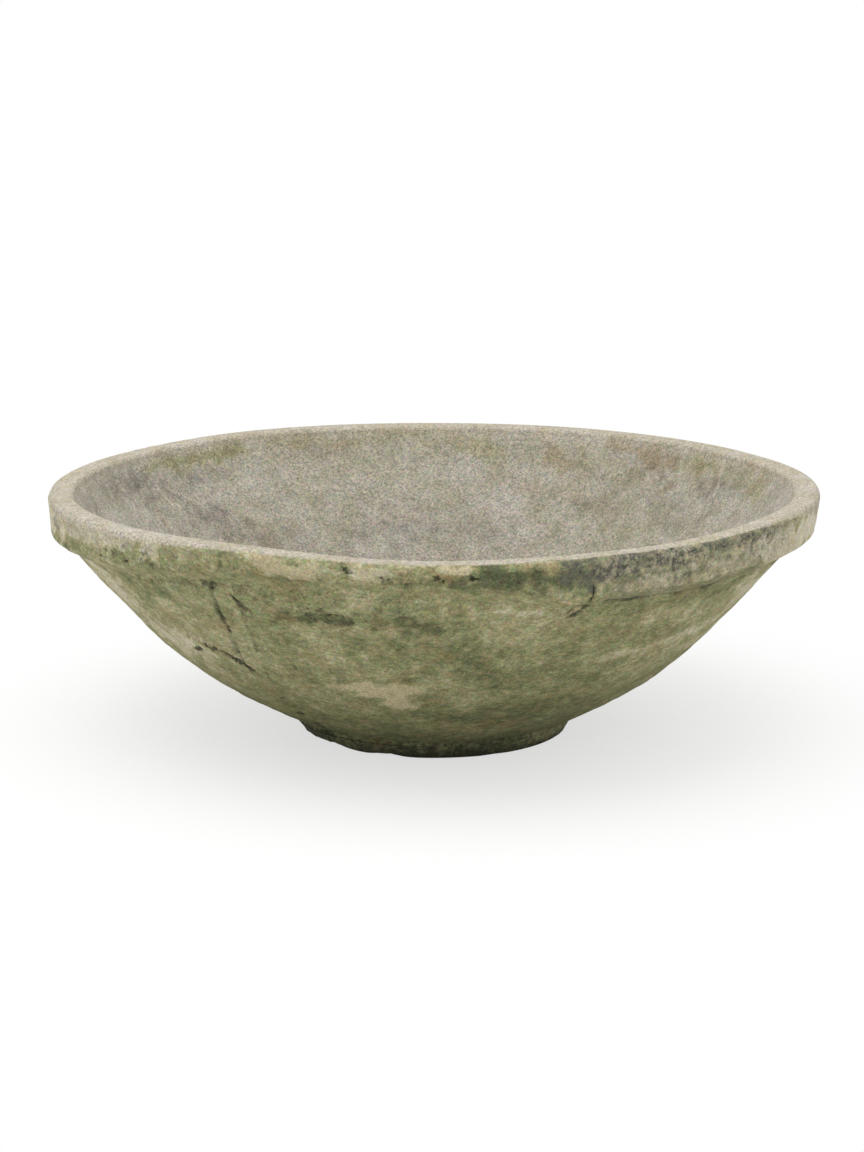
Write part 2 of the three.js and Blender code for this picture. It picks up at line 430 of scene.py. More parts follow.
# A finer mesh where a crack opens, so that its edges are crisp
places = drawn
near_crack = np.zeros(len(places), dtype=bool)
for path, width, _ in wall_cracks:
    near_crack |= (distance_to(path, places) < width + crack_margin) & (vertex_runs < lip_run)
for path, width, _ in scratches:
    near_crack |= (distance_to(path, places) < width + crack_margin) & (vertex_runs > inside_run)
fine = [e for e in bm.edges if near_crack[e.verts[0].index] and near_crack[e.verts[1].index]]
bmesh.ops.subdivide_edges(bm, edges=fine, cuts=2, use_grid_fill=True)
vertex_runs = np.array([v[run_layer] for v in bm.verts])
basin = as_piece(bm, "basin_stone")
places = places_of(basin.data)
outside = vertex_runs < lip_run + 0.5

# Broad swellings of the hand-built wall: azimuth, height, reach in degrees and in millimetres, and height
swellings = [
    (92, 100, 45, 34, 1.9), (84, 26, 40, 20, 1.4), (-96, 34, 40, 16, 1.6), (-78, 112, 16, 18, 0.8),
    (135, 164, 40, 30, 1.2), (60, 10, 40, 8, 0.4), (-92, 104, 30, 30, 0.7),
]
dent_kind = (52, 2, 3)
dent_depth = 0.7
dimple_kind = (17, 2, 4)
dimple_depth = 0.4
# Near the rim, at heights from the first to the second, this share of the dents is gone
rim_calm = 0.8
rim_calm_heights = (138, 152)


def hand_lumps(places):
    """Dents and swellings that the hands left, in millimetres. Every piece has the same ones where it
    meets the next."""
    azimuths, _, heights = polar(places)
    lumps = dent_depth * rough(places, *dent_kind) + dimple_depth * rough(places, *dimple_kind)
    lumps *= 1 - rim_calm * smooth(heights, *rim_calm_heights)
    for azimuth, height, wide, tall, amount in swellings:
        offset = (azimuths - azimuth + 180) % 360 - 180
        lumps += amount * np.exp(-((offset / wide) ** 2) - ((heights - height) / tall) ** 2)
    return lumps


def cracked(places, cracks):
    """Depth of the cracks at each place, broken up and with ragged sides."""
    deep = np.zeros(len(places))
    raggedness, reach = 0.7, 1.2
    wander = rough(places, 2.2, 2, 2) * raggedness
    broken = np.clip(0.65 + 1.2 * rough(places, 3.2, 2, 12), 0.05, 1.2)
    for path, width, depth in cracks:
        distance = distance_to(path, places) + wander * width
        deep = np.maximum(deep, depth * broken * (1 - smooth(distance, 0, width * reach)))
    return deep


# The dents fade out towards the foot, the seat of the strip and the lip, which have to fit their neighbours
_, radii, heights = polar(places)
ragged = rough(places, *ragged_kind)
lumps = (hand_lumps(places) + ragged_depth * ragged) * smooth(radii, 80, 100)
on_top = (vertex_runs > lip_run - 1) & (heights > bowl_height - 0.5)
near_top = np.where(vertex_runs > lip_run, 1 - smooth(vertex_runs, inside_run - 4, inside_run + 18), 0)
lumps = lumps * (1 - near_top) - 0.1 * near_top * (1 - on_top)
in_seat = outside & (vertex_runs < lip_run - 1)
lumps = np.where(in_seat, lumps * (1 - smooth(vertex_runs, seat_run + 4, seat_run + 14)), lumps)
lumps = np.where(np.abs(vertex_runs - lip_run) < 0.5, 0, lumps)
lumps = np.where(outside, lumps - cracked(places, wall_cracks), lumps)
set_places(basin.data, hand_formed(places))
pushed(basin.data, lumps)


def on_band(*rows):
    """Marks on the face of the strip round the lip."""
    return on_face([0, bowl_height], [rim_radius - 1, rim_radius - 1], rows)


# Stains of the outside. They cross the joints, so every piece reads the same ones. Moss above zero
# is greener, and below it barer
moss_marks = on_wall(
    (24, -0.34, (-66, 124), (-62, 106), (-58, 86)),
    (14, -0.16, (-46, 112), (-47, 98), (-47, 86)),
    (7, 0.12, (-62, 132), (-52, 128), (-44, 124)),
    (9, 0.40, (-22, 120), (-14, 123)),
    (6, 0.20, (-12, 124), (-2, 125)),
    (17, 0.18, (-10, 101), (0, 98), (8, 97)),
    (18, -0.05, (-40, 100), (-34, 96)),
    (8, 0.32, (-4, 126), (0, 120)),
    (14, 0.04, (-28, 104), (-26, 84), (-22, 70)),
    (2.0, -0.15, (-31.0, 122), (-31.7, 98), (-33.7, 75)),
    (8, -0.10, (6, 110), (14, 112)),
    (3.5, -0.30, (10, 131), (16, 128.5)),
    (18, 0.10, (6, 80), (18, 76), (30, 72)),
    (16, 0.16, (-2, 46), (12, 42), (28, 46)),
    (11, 0.10, (-36, 42), (-24, 38), (-8, 34)),
    (5.5, -0.22, (24, 88), (36, 87), (46, 90), (58, 92), (68, 102)),
    (13, -0.34, (60, 120), (72, 112), (82, 104)),
    (7, 0.12, (30, 124), (44, 126), (54, 127)),
    (8, -0.14, (36, 116), (46, 114)),
    (8, 0.12, (-6, 112), (6, 112)),
    (8, -0.20, (60, 78), (72, 84), (84, 92)),
)
moss_marks += on_band(
    (6, 0.10, (-74, 143), (-60, 147), (-46, 147), (-36, 147), (-24, 148), (-10, 149)),
    (6, 0.26, (-6, 153), (4, 153)),
    (9, -0.34, (-100, 150), (-84, 150), (-66, 153)),
    (6, -0.24, (26, 143), (44, 144), (64, 143), (84, 142)),
    (10, -0.58, (54, 149), (66, 147), (84, 146)),
    (9, -0.22, (25, 157), (44, 156), (64, 157), (82, 157)),
    (9, -0.12, (-84, 152), (-70, 152)),
    (5, 0.10, (-24, 155), (-12, 154)),
    (4.5, -0.30, (-26, 159), (-16, 157), (-6, 158)),
    (7, -0.48, (-92, 154), (-78, 156), (-60, 156), (-42, 156)),
    (9, 0.36, (7, 154), (20, 152)),
    (3.5, 0.22, (24, 137), (36, 136), (50, 135), (64, 134)),
    (11, -0.60, (72, 152), (88, 150), (104, 150)),
)
# Grime of the outside, and painted shade in the seams, the cracks, the joint, the hollow over the foot and
# the crease under the strip
grime_and_shade_marks = on_wall(
    (7, 0.30, (-21, 129), (-16, 126.5), (-12, 125)),
    (7, 0.26, (-20.5, 121.5), (-14, 119)),
    (4.2, 0.36, (-27, 133), (-24, 130.5)),
    (5.6, 1.15, (22.8, 130), (22.3, 127.2), (21.6, 125.2), (20.7, 123.2)),
    (8, -0.35, (44, 4), (54, 8), (66, 10)),
    # Dirt and painted shade along the seams of the strap and in the open cracks beside them
    (3.8, 0.55, (-35.4, 139.5), (-33.8, 137)),
    (2.8, 0.28, (-34, 136), (-34.6, 120), (-35.6, 100), (-37.8, 80)),
    (3.6, 0.35, (-35.2, 107), (-35.6, 102)),
    (3.6, 0.28, (-36.0, 95), (-36.6, 88)),
    (3.4, 0.34, (-37.8, 79), (-41, 83.6), (-44.6, 85.6)),
    (4.2, 1.4, (-38.7, 77.8), (-37.2, 74.9)),
    (2.6, 0.95, (-39.8, 80.6), (-38.8, 78.4)),
    (2.8, 1.0, (-44.8, 85.8), (-43.2, 85.0)),
    (3.0, 0.95, (-49.8, 80.6), (-48.8, 81.3)),
    (4.5, 0.30, (-44, 66), (-40, 58), (-37, 50)),
    (2.2, 0.38, (-30.6, 132), (-29.9, 128), (-28.9, 123)),
    (2.4, 0.30, (-29.6, 126), (-31, 99), (-33, 74), (-35, 50)),
    # Spots of grime
    (3.2, 0.18, (-2.4, 128), (0.6, 126)),
    (4.5, 0.15, (2, 62), (5, 56)),
    (4.5, 0.12, (8, 58), (14, 55)),
    # Painted shade in the hollow over the foot at the front left, and along the bottom of the wall at the
    # front
    (3.2, 0.60, (-37, 37), (-39, 26), (-46, 11)),
    (6, 1.10, (-46, 9), (-60, 7), (-78, 6), (-98, 6)),
    (6, 0.45, (-20, 4), (0, 3), (20, 4)),
    # Painted shadow along the crease under the strip round the lip, on the right and on the left
    (3.4, 0.75, (25, 133.9), (30, 133.2)),
    (3.2, 0.60, (30, 133.2), (42, 131.8), (62, 130.2), (82, 129.4), (100, 128.8)),
    (2.6, 0.42, (-78, 133), (-62, 134), (-45, 136), (-34, 138), (-24, 140), (-14, 142), (-4, 143.5)),
)
grime_and_shade_marks += on_band(
    (4, 0.28, (6, 158), (9, 159), (12, 156), (15, 152.5), (18, 149)),
    (4, 0.24, (9, 156), (14, 158), (19, 157)),
    # Dirt and painted shade in the joint and at its foot
    (3.2, 0.38, (21.4, 150), (21.7, 144), (22.1, 138)),
    (1.6, 0.8, (23.8, 135.4), (25.2, 136.4), (27.0, 137.4)),
    # Dirt and painted shade in the open cracks of the strip
    (2.2, 1.2, (0.6, 156.2), (1.1, 154.0)),
    (2.2, 1.3, (5.0, 156.0), (5.6, 155.0)),
    (1.8, 0.5, (-6.2, 154.2), (-5.4, 153.4)),
    (1.8, 0.6, (-4.4, 151.8), (-3.6, 151.2)),
    (1.6, 0.6, (-1.4, 150.2), (-0.4, 149.6)),
    (1.8, 0.6, (-12.4, 161), (-11.8, 159.6)),
    (1.6, 0.6, (-11.3, 157.6), (-10.7, 156.4)),
    # Spots and blotches of grime on the strip
    (2.8, 0.55, (-75, 152.5), (-71, 150)),
    (3.6, 0.42, (-56, 151), (-52, 149), (-47.5, 153), (-44, 154)),
    (3.4, 0.36, (-50, 146), (-40, 144), (-34, 146)),
    (3.6, 0.34, (-30, 152), (-27, 150)),
    (3.0, 0.45, (-13, 161), (-11.5, 158)),
    (3.4, 0.34, (-16, 152), (-12, 150)),
    (3.0, 0.34, (-8, 154), (-5, 152), (0, 153)),
)
soot_marks = on_band(
    (5, 0.45, (18, 162), (22, 161.5)),
    (8, 0.62, (18.5, 156), (22, 155)),
    (4, 0.35, (20, 149), (21.4, 148)),
    (5, 0.48, (24.5, 161), (28, 160.5)),
    (5, 0.12, (28, 160), (37, 160.5)),
    (6, 0.20, (27, 153), (34, 152)),
    (6, -0.20, (41, 155.5), (48, 154.5)),
    (4, 0.16, (40, 161), (50, 160.5), (58, 161)),
    (5, 0.12, (62, 161), (80, 161)),
    (4, 0.28, (-74, 154), (-60, 155.5), (-46, 157), (-34, 158)),
)
bare_marks = on_wall(
    (9.5, 0.9, (-13.5, 66.5), (-9.5, 64), (-7.4, 56)),
    (5, 0.75, (-13, 70), (-6, 70.5), (-2.5, 70)),
    (3.4, 0.55, (-20, 68), (-13, 66.5)),
    (3, 0.25, (-33.2, 129), (-32, 125)),
)
bare_marks += on_band(
    (3.0, 0.9, (1.6, 160.8), (4.4, 160.6)),
    (2.8, 0.8, (38.2, 158.5), (40, 157)),
    (2.8, 0.7, (46.5, 158), (48, 156.5)),
    (2.4, 0.7, (22.8, 157.6), (24.4, 157)),
    (2.2, 0.55, (22.9, 149), (23.1, 140.4)),
    (1.2, 1.0, (54.2, 139.5), (54.8, 139)),
    (2.8, 0.5, (62, 152), (63, 147)),
    (4.5, 0.30, (28, 142), (44, 143), (60, 143), (74, 142)),
    (7, 0.62, (-24, 156), (-17, 155)),
    (4.4, 0.45, (-9.5, 156), (-7.5, 156)),
    (3.6, 0.2, (-62, 149), (-52, 151)),
    (5, 0.4, (-88, 157), (-76, 157)),
)
even_moss = 0.50
low_moss = 0.22
low_moss_heights = (20, 80)
front_moss = 0.08
front_moss_heights = (40, 110)
# Levels of grime and painted shade up from the ground, in the cracks and along the seams of the strap
ground_shade_and_grime = 0.62
ground_shade_and_grime_heights = (4, 25)
crack_grime_and_shade = 0.62
seam_grime_and_shade = 0.26
# Azimuths over which the soot sets in and leaves off
soot_starts = (20, 26)
soot_ends = (50, 69)


def outside_weather(places, cracks):
    """How the outside has weathered at each place, from 0 to 1. Its grime carries painted shade as well."""
    azimuths, radii, heights = polar(places)
    ragged = rough(places, *ragged_kind)
    middling = rough(places, *middling_kind)

    # Moss grows everywhere, more of it low down and on the front
    moss = even_moss + 0.09 * rough(places, *broad_kind) + 0.09 * middling
    moss += stained(places, moss_marks, ragged)
    moss += low_moss * (1 - smooth(heights, *low_moss_heights))
    moss += front_moss * np.cos(np.radians(azimuths)) * smooth(heights, *front_moss_heights)

    # Grime lies in spots, and grime and painted shade lie up from the ground, in the cracks and along both
    # seams of the strap, the more where a seam stands open
    grime_and_shade = stained(places, grime_and_shade_marks, ragged + 0.9 * rough(places, *fine_kind))
    grime_and_shade += 0.16 * np.maximum(middling - 0.35, 0)
    shade = heights + 4 * middling - 4 * np.cos(np.radians(azimuths - 60))
    grime_and_shade += ground_shade_and_grime * (1 - smooth(shade, *ground_shade_and_grime_heights))
    grime_and_shade += crack_grime_and_shade * np.minimum(cracked(places, cracks), 1.2)
    for side in (-1, 1):
        edge = (azimuths - strap_azimuth(heights) - side * strap_half(heights)) * np.radians(radii)
        beside = heights < strap_top
        open_here = seam_gap(side, heights) * smooth(heights, strap_foot, strap_foot + 8) * beside
        along_seam = (0.55 + 0.45 * smooth(heights, 62, 86)) * (heights > strap_foot + 4) * beside
        dirt_and_shade = 0.45 * np.minimum(open_here, 1) + (seam_grime_and_shade - 0.03 * side + 0.35 * middling) * along_seam
        grime_and_shade += np.maximum(dirt_and_shade, 0) * (1 - smooth(np.abs(edge - side * 0.4), 0.2, 2.6))

    # Soot has settled right of the joint, and thickest under the lip
    sooty_side = smooth(azimuths, *soot_starts) * (1 - smooth(azimuths, *soot_ends))
    soot = stained(places, soot_marks, ragged)
    soot += sooty_side * (0.31 + 0.33 * smooth(heights + 3 * middling + 2 * ragged, 138, 160))
    soot *= 0.92 + 0.25 * rough(places, *soot_kind)
    rust = 0.30 * np.maximum(rough(places, 13, 2, 8) - 0.35, 0)
    bare = stained(places, bare_marks, ragged)
    return {"moss": moss, "grime_and_shade": grime_and_shade, "soot": soot, "bare": bare, "rust": rust}


def note_weather(mesh, weather):
    """Keeps what the weather did to each vertex for the material to read."""
    for name, values in weather.items():
        attribute = mesh.attributes.new(name, "FLOAT", "POINT")
        attribute.data.foreach_set("value", np.clip(values, 0, 1).astype(np.float32))


# Stains of the inside, which is bare: dark and purplish on the left, greener towards the back, and
# brown in two places under the lip
inside_grime = on_inside(
    (15, 0.30, (-104, 152), (-116, 148)),
    (16, 0.22, (-120, 146), (-127, 130), (-134, 112)),
    (16, 0.14, (-128, 118), (-140, 98), (-156, 88)),
    (3.5, 0.25, (-131, 142), (-133, 139)),
    (14, 0.12, (112, 152), (120, 140)),
    (12, 0.10, (146, 154), (132, 150)),
    (14, 0.06, (-160, 112), (-176, 104), (168, 104)),
    (24, 0.17, (148, 122), (134, 124), (116, 130)),
    (26, 0.13, (166, 86), (180, 84), (-166, 86)),
)
inside_moss = on_inside(
    (8, 0.55, (-121, 155), (-134, 153), (-143, 155)),
    (9, 0.22, (-150, 159), (-168, 158), (-178, 157)),
    (34, 0.16, (148, 122), (134, 112)),
    (28, -0.12, (-132, 132), (-146, 112)),
    (12, 0.42, (128, 152), (116, 157), (102, 150)),
    (12, 0.22, (150, 150), (140, 140)),
    (9, 0.25, (176, 154), (168, 146)),
)
inside_rust = on_inside(
    (9, 0.60, (146, 159), (140, 155), (132, 150)),
    (7, 0.38, (160, 157), (157, 149), (154, 140)),
    (2.6, 0.35, (131.2, 130), (129.9, 136), (129.2, 142.5)),
    (6, 0.16, (178, 157), (172, 150), (167, 146)),
    (1.1, 0.6, (-117.8, 131), (-117.2, 128)),
    (1.5, 0.75, (-117, 124), (-116.3, 116)),
    (7, 0.25, (112, 160), (104, 154)),
)
inside_even_moss = 0.24


def inside_weather(places):
    """How the inside has weathered at each place, from 0 to 1."""
    ragged = rough(places, *ragged_kind)
    moss = inside_even_moss + 0.12 * rough(places, *broad_kind) + 0.08 * rough(places, *middling_kind)
    moss += stained(places, inside_moss, ragged)
    soot = stained(places, inside_grime, ragged) * (0.9 + 0.6 * rough(places, *soot_kind))
    rust = stained(places, inside_rust, ragged) + 0.25 * np.maximum(rough(places, 20, 2, 8) - 0.3, 0)
    bare = stained(places, scratches, ragged * 0.4)
    return {"moss": moss, "grime_and_shade": 0 * moss, "soot": soot, "bare": bare, "rust": rust}


outer_weather = outside_weather(places, wall_cracks)
inner_weather = inside_weather(places)
weather = {name: np.where(outside, outer_weather[name], inner_weather[name]) for name in outer_weather}
weather["inside"] = smooth(vertex_runs, lip_run + 0.5, lip_run + 2)
# The rubbed lip fades out a little way down the inside
fading = vertex_runs - inside_run + 2 * ragged + 1.5 * rough(places, *middling_kind)
weather["lip"] = np.where(vertex_runs > lip_run - 2, 1 - smooth(fading, -6, 7), 0)
note_weather(basin.data, weather)


def linear(hex_colour):
    """Linear colour of an sRGB hex value."""
    levels = [int(hex_colour[i:i + 2], 16) / 255 for i in (1, 3, 5)]
    return (*[c / 12.92 if c <= 0.04045 else ((c + 0.055) / 1.055) ** 2.4 for c in levels], 1)


def feed(tree, socket, value):
    """Gives a socket a value, another socket's output, or the first output in use of a node."""
    if isinstance(value, bpy.types.Node):
        value = next(output for output in value.outputs if output.enabled)
    if isinstance(value, bpy.types.NodeSocket):
        tree.links.new(value, socket)
    else:
        socket.default_value = value


def add(tree, kind, inputs=None, stops=(), **settings):
    """Adds a node with its settings, and feeds its inputs, which go by place or by the name in use."""
    node = tree.nodes.new("ShaderNode" + kind)
    for name, value in settings.items():
        setattr(node, name, value)
    for key, value in (inputs or {}).items():
        named = [socket for socket in node.inputs if socket.enabled and socket.name == key]
        feed(tree, named[0] if named else node.inputs[key], value)
    for i, (place, colour) in enumerate(stops):
        ends = node.color_ramp.elements
        stop = ends[i] if i < 2 else ends.new(place)
        stop.position = place
        stop.color = linear(colour)
    return node


# Sand grains of the mix, as a group that lays them over a colour. They are about 0.6 mm across, which is
# finer than a pixel, so they are drawn at 1 mm. Clots of grains are larger. Of a hundred stray grains 7
# are dark and 9 pale, and a film on the stone dulls them all
grain_size = 1.0
clot_size = 2.4
stray_size = 6.5
dark_below = 0.07
pale_above = 0.91
grit = bpy.data.node_groups.new("cast stone grit", "ShaderNodeTree")
grit.interface.new_socket("Color", in_out="INPUT", socket_type="NodeSocketColor")
grit.interface.new_socket("Bareness", in_out="INPUT", socket_type="NodeSocketFloat")
grit.interface.new_socket("Color", in_out="OUTPUT", socket_type="NodeSocketColor")
grit.interface.new_socket("Height", in_out="OUTPUT", socket_type="NodeSocketFloat")
given = grit.nodes.new("NodeGroupInput")
at = add(grit, "TexCoord").outputs["Object"]
grains = add(grit, "TexVoronoi", {"Vector": at, "Scale": 1 / (grain_size * MM)})
clots = add(grit, "TexNoise", {"Vector": at, "Scale": 1 / (clot_size * MM), "Detail": 4.0, "Roughness": 0.75})
strays = add(grit, "TexVoronoi", {"Vector": at, "Scale": 1 / (stray_size * MM)})
grain_draw = add(grit, "SeparateColor", {"Color": grains.outputs["Color"]})
stray_draw = add(grit, "SeparateColor", {"Color": strays.outputs["Color"]})
grain_tone = add(grit, "MapRange", {"Value": grain_draw, "To Min": -0.5, "To Max": 0.5})
clot_tone = add(grit, "Math", {0: clots, 1: -0.5}, operation="ADD")
tone = add(grit, "Math", {0: clot_tone, 1: 0.9, 2: grain_tone}, operation="MULTIPLY_ADD")
pale = add(grit, "Math", {0: stray_draw, 1: pale_above}, operation="GREATER_THAN")
dark = add(grit, "Math", {0: stray_draw, 1: dark_below}, operation="LESS_THAN")
stray_sign = add(grit, "Math", {0: pale, 1: dark}, operation="SUBTRACT")
stray_near = add(grit, "MapRange", {"Value": strays, "From Min": 0.17, "From Max": 0.08})
stray_tone = add(grit, "Math", {0: stray_sign, 1: stray_near}, operation="MULTIPLY")
whole_tone = add(grit, "Math", {0: stray_tone, 1: 0.9, 2: tone}, operation="MULTIPLY_ADD")
shade = add(grit, "MapRange", {
    "Value": whole_tone, "From Min": -1.0, "From Max": 1.0, "To Min": 0.48, "To Max": 1.52,
})
grey = add(grit, "CombineColor", {name: shade for name in ("Red", "Green", "Blue")})
strength = add(grit, "MapRange", {"Value": given.outputs["Bareness"], "To Min": 0.6, "To Max": 1.0})
shaded = add(
    grit, "Mix", {"Factor": strength, "A": given.outputs["Color"], "B": grey},
    data_type="RGBA", blend_type="MULTIPLY",
)
tint = add(grit, "HueSaturation", {"Saturation": 0.45, "Color": grains.outputs["Color"]})
tinted = add(grit, "Mix", {"Factor": 0.22, "A": shaded, "B": tint}, data_type="RGBA", blend_type="OVERLAY")
dome = add(grit, "Math", {0: grains, 1: -0.35, 2: clots}, operation="MULTIPLY_ADD")
out = grit.nodes.new("NodeGroupOutput")
feed(grit, out.inputs["Color"], tinted)
feed(grit, out.inputs["Height"], dome)

# The film of moss, algae and dirt that the outside has, as one group that every piece reads, so that the
# stains run on over the joints. Its strokes, tufts and spots lie along the wall
film = bpy.data.node_groups.new("film of moss on cast stone", "ShaderNodeTree")
film.interface.new_socket("Color", in_out="OUTPUT", socket_type="NodeSocketColor")
film.interface.new_socket("Height", in_out="OUTPUT", socket_type="NodeSocketFloat")
at = add(film, "TexCoord").outputs["Object"]
flat = add(film, "Mapping", {"Vector": at, "Scale": (0.6, 0.6, 1.0)})
noted = {
    note: add(film, "Attribute", attribute_name=note).outputs["Fac"]
    for note in ("moss", "grime_and_shade", "bare", "rust")
}
# Kinds of noise in it: name, lie, size in millimetres, detail, roughness and distortion
film_noise = [
    ("strokes", flat, 4.2, 6.0, 0.72, 0.5),
    ("patches", at, 13, 7.0, 0.7, 0.3),
    ("tufts", flat, 2.6, 5.0, 0.75, 0.0),
    ("spots", flat, 8, 5.0, 0.7, 0.0),
    ("clumps", at, 3.4, 5.0, 0.75, 0.0),
]
noise = {
    name: add(film, "TexNoise", {
        "Vector": lie, "Scale": 1 / (size * MM), "Detail": detail, "Roughness": roughness, "Distortion": bend,
    })
    for name, lie, size, detail, roughness, bend in film_noise
}
# Noise of three sizes and what the weather noted make up the level, from 0 for bare stone to 1 for moss
moss_level = noted["moss"]
for name, amount in (("patches", 0.8), ("strokes", 0.8), ("tufts", 1.1)):
    moss_level = add(film, "Math", {0: noise[name], 1: amount, 2: moss_level}, operation="MULTIPLY_ADD")
moss_level = add(film, "Math", {0: moss_level, 1: -1.35}, operation="ADD")
filmed = add(film, "ValToRGB", {"Fac": moss_level}, stops=[
    (0.0, "#dad3bb"), (1.0, "#62664a"), (0.25, "#c2bc9c"), (0.5, "#9f9e78"), (0.75, "#81845f"),
])
filmed = add(
    film, "Mix", {"Factor": 0.42, "A": filmed, "B": noise["clumps"].outputs["Color"]},
    data_type="RGBA", blend_type="OVERLAY",
)
tan_share = add(film, "MapRange", {
    "Value": noise["spots"], "From Min": 0.52, "From Max": 0.72, "To Max": 0.6,
})
bare_level = add(film, "Math", {0: noise["tufts"], 1: 0.6, 2: noted["bare"]}, operation="MULTIPLY_ADD")
bare_share = add(film, "MapRange", {"Value": bare_level, "From Min": 0.35, "From Max": 1.15})
grime_and_shade_level = add(film, "Math", {0: noise["clumps"], 1: 2.6, 2: noted["grime_and_shade"]}, operation="MULTIPLY_ADD")
grime_and_shade_share = add(film, "MapRange", {"Value": grime_and_shade_level, "From Min": 1.5, "From Max": 2.3, "To Max": 0.9})
# Over the moss come tan spots, rusty stains, stone that is rubbed bare, and grime with painted shade
film_coats = [
    (tan_share, "#ab9878"), (noted["rust"], "#9a7c54"), (bare_share, "#c4b897"), (grime_and_shade_share, "#35372a"),
]
for share, colour in film_coats:
    filmed = add(film, "Mix", {"Factor": share, "A": filmed, "B": linear(colour)}, data_type="RGBA")
out = film.nodes.new("NodeGroupOutput")
feed(film, out.inputs["Color"], filmed)
feed(film, out.inputs["Height"], noise["tufts"])
# Relief of the grains in millimetres, and of the film as a share of it
grain_relief = 0.8
film_relief = 0.8


def new_stone(name, roughness, specular, *notes):
    """A new material of stone: itself, its tree, the places on it, its film, and what the weather noted."""
    material = bpy.data.materials.new(name)
    material.use_nodes = True
    tree = material.node_tree
    shader = tree.nodes["Principled BSDF"]
    shader.inputs["Roughness"].default_value = roughness
    shader.inputs["Specular IOR Level"].default_value = specular
    at = add(tree, "TexCoord").outputs["Object"]
    noted = {note: add(tree, "Attribute", attribute_name=note).outputs["Fac"] for note in notes}
    return material, tree, at, add(tree, "Group", node_tree=film), noted


def rubbed_pale(tree, patches, colour, share):
    """Lays the two pale tones of the rubbed lip over a colour."""
    tone = add(tree, "ValToRGB", {"Fac": patches}, stops=[(0.35, "#bdb6aa"), (0.65, "#b0a790")])
    return add(tree, "Mix", {"Factor": share, "A": colour, "B": tone}, data_type="RGBA")


def grained(tree, film_height, strength, **laid):
    """Lays the grains over a colour, and gives the shader that and the relief of grains and film."""
    shader = tree.nodes["Principled BSDF"]
    sanded = add(tree, "Group", laid, node_tree=grit)
    height = add(
        tree, "Math", {0: film_height, 1: film_relief, 2: sanded.outputs["Height"]}, operation="MULTIPLY_ADD"
    )
    bump = add(tree, "Bump", {"Strength": strength, "Distance": grain_relief * MM, "Height": height})
    feed(tree, shader.inputs["Base Color"], sanded)
    feed(tree, shader.inputs["Normal"], bump)


# Outside it looks green and furry under the film, inside bare and gritty with brown and purplish stains,
# and the lip is rubbed pale. It is as dull as dry stone
pale_patch = {"Scale": 1 / (17 * MM), "Detail": 6.0, "Roughness": 0.7}
mossy_stone, tree, at, outer, noted = new_stone(
    "cast stone under a film of moss", 0.93, 0.18, "moss", "soot", "bare", "rust", "inside", "lip"
)
patches = add(tree, "TexNoise", {"Vector": at, **pale_patch})
inner_level = add(tree, "Math", {0: patches, 1: 1.1, 2: noted["moss"]}, operation="MULTIPLY_ADD")
inner_level = add(tree, "Math", {0: inner_level, 1: -0.5}, operation="ADD")
inner = add(tree, "ValToRGB", {"Fac": inner_level}, stops=[
    (0.0, "#b0aba0"), (1.0, "#908d6b"), (0.3, "#aaa597"), (0.6, "#a5a18a"),
])
inner_hues = add(tree, "TexNoise", {"Vector": at, "Scale": 1 / (3 * MM), "Detail": 4.0, "Roughness": 0.7})
inner = add(
    tree, "Mix", {"Factor": 0.22, "A": inner, "B": inner_hues.outputs["Color"]},
    data_type="RGBA", blend_type="OVERLAY",
)
soot_level = add(tree, "Math", {0: patches, 1: 1.1, 2: noted["soot"]}, operation="MULTIPLY_ADD")
soot_share = add(tree, "MapRange", {"Value": soot_level, "From Min": 0.5, "From Max": 1.2, "To Max": 0.85})
for share, colour in ((noted["rust"], "#8f7c55"), (soot_share, "#6c665f"), (noted["bare"], "#c9beaa")):
    inner = add(tree, "Mix", {"Factor": share, "A": inner, "B": linear(colour)}, data_type="RGBA")
sides = add(tree, "Mix", {"Factor": noted["inside"], "A": outer, "B": inner}, data_type="RGBA")
lipped = rubbed_pale(tree, patches, sides, noted["lip"])
bareness = add(tree, "Math", {0: noted["inside"], 1: noted["lip"]}, operation="MAXIMUM")
grained(tree, outer.outputs["Height"], 0.4, Color=lipped, Bareness=bareness)
basin.data.materials.append(mossy_stone)
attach(basin, "root")
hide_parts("basin")

# Seam strap. A strip of the same mix pressed into a channel over the joint of the wall, flush but for a
# slight crown. The film of moss runs over it, and its two edges show as dark broken lines of open gaps, dirt
# and painted shade.
strap_crown = 0.9
strap_thickness = 2.6
strap_thin_end = 0.25
# Room in the channel's height below the strap and above it
strap_end_room = (2, 1)
# Its edges lie lower, the more so high up, and its top end is sunk under the strip round the lip
strap_edge_drop = 0.04
strap_edge_drop_above = 0.21
strap_sunk_top = 0.7
strap_columns = 24
strap_rows = 150
bm = bmesh.new()
bmesh.ops.create_grid(bm, x_segments=strap_columns, y_segments=strap_rows, size=0.5)
for v in bm.verts:
    side = v.co.x * 2
    share = v.co.y + 0.5
    height = strap_foot + strap_end_room[0] + (strap_top - strap_foot - sum(strap_end_room)) * share
    radius = float(np.interp(height, outer_heights, outer_radii))
    azimuth = float(strap_azimuth(height) + side * strap_half(height))
    edge_drop = strap_edge_drop + strap_edge_drop_above * float(smooth(height, 60, 82))
    above = strap_crown * (1 - side * side) - edge_drop * abs(side) ** 10
    above *= float(smooth(share, 0, 0.10) * (1 - smooth(height, 122, 132)))
    above -= strap_sunk_top * float(smooth(height, 131, 135))
    v.co = Vector(around(azimuth, radius - above * into_wall[0], height - above * into_wall[1])) * MM
made = bmesh.ops.extrude_face_region(bm, geom=bm.faces[:])
